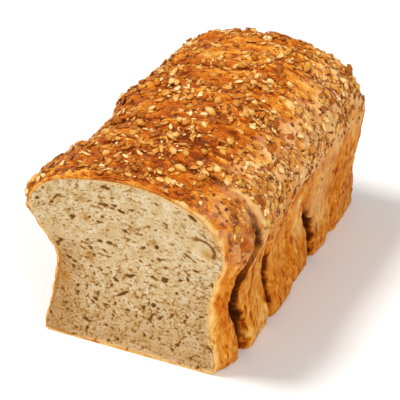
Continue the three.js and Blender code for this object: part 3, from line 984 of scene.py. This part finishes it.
def baked_crust():
    material, tree, shader = new_material("baked_crust")
    coords = add(tree, "ShaderNodeTexCoord").outputs["Object"]
    shade = {}
    for name in ("tan", "deep", "torn", "crown", "painted_glints"):
        shade[name] = add(tree, "ShaderNodeAttribute", {"attribute_name": name}).outputs["Fac"]
    crown = shade["crown"]

    drawn = add(tree, "ShaderNodeMapping", Vector=coords, Scale=list(WALL_STRETCH)).outputs["Vector"]
    ragged = {"Detail": 4.0, "Roughness": 0.65, "Distortion": 0.6}
    fibre = add(tree, "ShaderNodeTexNoise", Vector=drawn, Scale=per_mm(CRUST_FIBRE), **ragged)
    cloudy = {"Detail": 4.0, "Roughness": 0.6}
    mottle = add(tree, "ShaderNodeTexNoise", Vector=coords, Scale=per_mm(CRUST_MOTTLE), **cloudy)
    grit = add(tree, "ShaderNodeTexNoise", Vector=coords, Scale=per_mm(CRUST_GRIT), Detail=2.0)
    dash = add(tree, "ShaderNodeTexNoise", Vector=drawn, Scale=per_mm(CRUST_DASH), Detail=1.0).outputs["Fac"]
    few = {"From_Min": 0.60, "From_Max": 0.70, "To_Min": 0.5, "To_Max": 1.0}
    dash = add(tree, "ShaderNodeMapRange", Value=dash, **few)
    fibre_share = add(tree, "ShaderNodeMapRange", Value=crown, To_Min=0.5, To_Max=0.3).outputs["Result"]
    grit_share = add(tree, "ShaderNodeMapRange", Value=crown, To_Min=0.35, To_Max=0.7).outputs["Result"]
    tan = shade["tan"]
    for texture, share in ((mottle, 0.45), (fibre, fibre_share), (grit, grit_share), (dash, 0.8)):
        centred = add(tree, "ShaderNodeMath", SUBTRACT, _0=texture.outputs[0], _1=0.5).outputs[0]
        tan = add(tree, "ShaderNodeMath", MULTIPLY_ADD, _0=centred, _1=share, _2=tan).outputs[0]
    colour = add(tree, "ShaderNodeValToRGB", stops=CRUST_BROWNS, Fac=tan).outputs["Color"]

    # Painted glints on the right shoulder, broken into specks by the grit.
    grains = {"From_Min": 0.35, "From_Max": 0.6, "To_Min": 0.35, "To_Max": 1.25}
    specks = add(tree, "ShaderNodeMapRange", Value=grit.outputs["Fac"], **grains).outputs["Result"]
    shade["painted_glints"] = add(tree, "ShaderNodeMath", MULTIPLY, _0=shade["painted_glints"], _1=specks).outputs[0]
    for name, share, tint in CRUST_TINTS:
        part = add(tree, "ShaderNodeMath", MULTIPLY, _0=shade[name], _1=share).outputs[0]
        colour = add(tree, "ShaderNodeMix", COLOURS, Factor=part, _6=colour, _7=linear(tint)).outputs[2]
    tree.links.new(colour, shader.inputs["Base Color"])

    rough = add(tree, "ShaderNodeMapRange", Value=crown, To_Min=0.7, To_Max=0.42).outputs["Result"]
    rough = add(tree, "ShaderNodeMath", CLAMPED_ADD, _0=shade["deep"], _1=0.6, _2=rough).outputs[0]
    tree.links.new(rough, shader.inputs["Roughness"])
    parts = {"_0": grit.outputs["Fac"], "_1": 0.5, "_2": fibre.outputs["Fac"]}
    height = add(tree, "ShaderNodeMath", MULTIPLY_ADD, **parts).outputs[0]
    bump = add(tree, "ShaderNodeBump", Height=height, Strength=0.7, Distance=CRUST_BUMP * MM)
    tree.links.new(bump.outputs["Normal"], shader.inputs["Normal"])
    shader.inputs["Specular IOR Level"].default_value = 0.22
    shader.inputs["Specular Tint"].default_value = linear("#ffcf8a")
    return material


# Multigrain crumb, risen and cut across: pale and dull, streaked along its layers, golden by the crust, with
# painted shade in its pores and painted shadow on the upper edge of its pocket.
CRUMB_CLOUD, CRUMB_STREAK_LONG, CRUMB_STREAK_HIGH, CRUMB_FINE = 7, 3.2, 1.2, 0.9
CRUMB_PALES = [(0.3, "#cdab70"), (0.5, "#dcc193"), (0.7, "#e9d6b1")]
CRUMB_BUMP = 0.5
# What each tint follows, where it starts and where it is full, its share, and its colour.
CRUMB_TINTS = [
    ("streak", 0.47, 0.32, 0.5, "#ab7c40"),
    ("grain", 0.48, 0.3, 0.4, "#b58a50"),
    ("brown", 0.0, 1.0, 0.65, "#b27a38"),
    ("gold_and_pocket_shadow", 0.0, 1.0, 0.7, "#c08836"),
    # Painted shadow on the pocket's upper edge.
    ("gold_and_pocket_shadow", 0.8, 1.5, 0.85, "#74440a"),
    ("rim", 4.0, 2.0, 0.7, "#eac083"),
    ("rim", 1.9, 1.0, 0.7, "#dca655"),
    ("brown", 0.9, 1.5, 0.75, "#a0661e"),
    # Painted shade in the pores and hollows, deepest in the deepest.
    ("pore_shade", 0.0, 1.2, 0.75, "#b07826"),
    ("pore_shade", 1.1, 2.0, 0.85, "#5a2f06"),
]


def open_crumb():
    material, tree, shader = new_material("open_crumb")
    coords = add(tree, "ShaderNodeTexCoord").outputs["Object"]
    shade = {}
    for name in ("pore_shade", "rim", "gold_and_pocket_shadow", "brown", "layer"):
        shade[name] = add(tree, "ShaderNodeAttribute", {"attribute_name": name}).outputs["Fac"]

    cloudy = {"Detail": 4.0, "Roughness": 0.6}
    cloud = add(tree, "ShaderNodeTexNoise", Vector=coords, Scale=per_mm(CRUMB_CLOUD), **cloudy)
    colour = add(tree, "ShaderNodeValToRGB", stops=CRUMB_PALES, Fac=cloud.outputs["Fac"]).outputs["Color"]
    across = add(tree, "ShaderNodeSeparateXYZ", Vector=coords).outputs["X"]
    across = add(tree, "ShaderNodeMath", MULTIPLY, _0=across, _1=per_mm(CRUMB_STREAK_LONG)).outputs[0]
    layer = add(tree, "ShaderNodeMath", MULTIPLY, _0=shade["layer"], _1=1 / CRUMB_STREAK_HIGH).outputs[0]
    flow = add(tree, "ShaderNodeCombineXYZ", X=across, Z=layer).outputs[0]
    streak = add(tree, "ShaderNodeTexNoise", Vector=flow, Scale=1.0, Detail=3.0, Roughness=0.6)
    grain = add(tree, "ShaderNodeTexNoise", Vector=coords, Scale=per_mm(CRUMB_FINE), Detail=3.0)
    shade["streak"], shade["grain"] = streak.outputs["Fac"], grain.outputs["Fac"]
    for name, start, full, share, tint in CRUMB_TINTS:
        limits = {"From_Min": start, "From_Max": full, "To_Min": 0.0, "To_Max": share}
        part = add(tree, "ShaderNodeMapRange", SOFT_STEP, Value=shade[name], **limits).outputs["Result"]
        colour = add(tree, "ShaderNodeMix", COLOURS, Factor=part, _6=colour, _7=linear(tint)).outputs[2]
    tree.links.new(colour, shader.inputs["Base Color"])

    bump = add(tree, "ShaderNodeBump", Height=shade["grain"], Strength=0.5, Distance=CRUMB_BUMP * MM)
    tree.links.new(bump.outputs["Normal"], shader.inputs["Normal"])
    shader.inputs["Roughness"].default_value = 0.85
    shader.inputs["Specular IOR Level"].default_value = 0.2
    return material


# Skins of the seeds, baked on the crust: each seed has a tone of its own, mottled, and darker at its edges,
# both browned and with painted shade.
# Hulled sunflower kernels and rolled oats toast from cream to amber and stay dull. Hulled sesame is paler and
# smoother, brown linseed is red-brown, and bran is torn husk between gold and brown.
SEED_MOTTLE = 1.5
SEED_SKINS = {
    "grain_kernels": ("sunflower_kernel", 0.5, [
        (0.0, "#9e5010"), (0.4, "#c4802c"), (0.8, "#dba653"), (1.0, "#eccb8c"),
    ]),
    "oat_flakes": ("oat_flake", 0.5, [
        (0.0, "#9e5010"), (0.4, "#cc8832"), (0.75, "#e4b66e"), (1.0, "#f6dda8"),
    ]),
    "sesame_seeds": ("sesame_seed", 0.4, [
        (0.0, "#a8561a"), (0.4, "#cd8838"), (0.7, "#e2b060"), (0.95, "#f3d8a4"),
    ]),
    "linseeds": ("brown_linseed", 0.45, [
        (0.0, "#5c2610"), (0.45, "#824726"), (1.0, "#a87046"),
    ]),
    "bran_flecks": ("bran_fleck", 0.5, [
        (0.0, "#843c0a"), (0.3, "#ac6220"), (0.7, "#d0903c"), (1.0, "#e8b564"),
    ]),
}


def seed_skin(piece_name):
    name, roughness, stops = SEED_SKINS[piece_name]
    material, tree, shader = new_material(name)
    coords = add(tree, "ShaderNodeTexCoord").outputs["Object"]
    tone = add(tree, "ShaderNodeAttribute", {"attribute_name": "tone"}).outputs["Fac"]
    mottle = add(tree, "ShaderNodeTexNoise", Vector=coords, Scale=per_mm(SEED_MOTTLE), Detail=2.0)
    mixed = add(tree, "ShaderNodeMath", MULTIPLY_ADD, _0=mottle.outputs["Fac"], _1=0.9, _2=-0.45).outputs[0]
    mixed = add(tree, "ShaderNodeMath", ADD, _0=tone, _1=mixed).outputs[0]
    colour = add(tree, "ShaderNodeValToRGB", stops=stops, Fac=mixed).outputs["Color"]
    tree.links.new(colour, shader.inputs["Base Color"])
    shader.inputs["Roughness"].default_value = roughness
    shader.inputs["Specular IOR Level"].default_value = 0.25
    shader.inputs["Specular Tint"].default_value = linear("#ffdfae")
    return material


# The stage

# The camera stands where the photograph's did, turned to bring the loaf to the middle of the picture.
CAMERA_PLACE = np.array([419.3, -780.7, 628.3])
CAMERA_AIM = np.array([-4.8, 104.75, 40.3])
CAMERA_LENS = 175.0
# The floor and the soft lights, in metres in the part's frame. A light is a name, place, size and power.
FLOOR_HALF = 4
LIGHTS = [("key", (-0.6, -0.2, 1.35), 0.4, 17), ("fill", (1.1, -0.8, 0.9), 0.9, 12)]
LIGHT_AIM = (0, 0, 0.05)
WORLD_STRENGTH = 0.45


def aimed(place, aim):
    return (Vector(aim) - Vector(place)).to_track_quat("-Z", "Y").to_euler()


def make_stage():
    bm = bmesh.new()
    bmesh.ops.create_grid(bm, x_segments=1, y_segments=1, size=FLOOR_HALF)
    mesh = bpy.data.meshes.new("floor")
    bm.to_mesh(mesh)
    bm.free()
    floor = bpy.data.objects.new("floor", mesh)
    bpy.context.scene.collection.objects.link(floor)
    # A painted floor: pale and dull, so that it only takes the shadow.
    material, _, shader = new_material("pale_floor")
    shader.inputs["Base Color"].default_value = linear("#f4f3f1")
    shader.inputs["Roughness"].default_value = 0.8
    mesh.materials.append(material)


def make_studio():
    scene = bpy.context.scene
    scene.view_settings.view_transform = "Standard"
    scene.world = bpy.data.worlds.new("studio")
    scene.world.use_nodes = True
    background = scene.world.node_tree.nodes["Background"]
    background.inputs["Color"].default_value = linear("#ffffff")
    background.inputs["Strength"].default_value = WORLD_STRENGTH
    for name, place, size, power in LIGHTS:
        light = bpy.data.lights.new(name, "AREA")
        light.size = size
        light.energy = power
        lamp = bpy.data.objects.new(name, light)
        lamp.location = place
        lamp.rotation_euler = aimed(place, LIGHT_AIM)
        scene.collection.objects.link(lamp)


def make_camera():
    data = bpy.data.cameras.new("camera")
    data.lens = CAMERA_LENS
    camera = bpy.data.objects.new("camera", data)
    camera.location = to_frame(CAMERA_PLACE)
    camera.rotation_euler = aimed(CAMERA_PLACE, CAMERA_AIM)
    bpy.context.scene.collection.objects.link(camera)
    bpy.context.scene.camera = camera


make_camera()
make_stage()
make_studio()
crust = make_crust(baked_crust())
make_crumb(open_crumb())
make_seeds(crust)
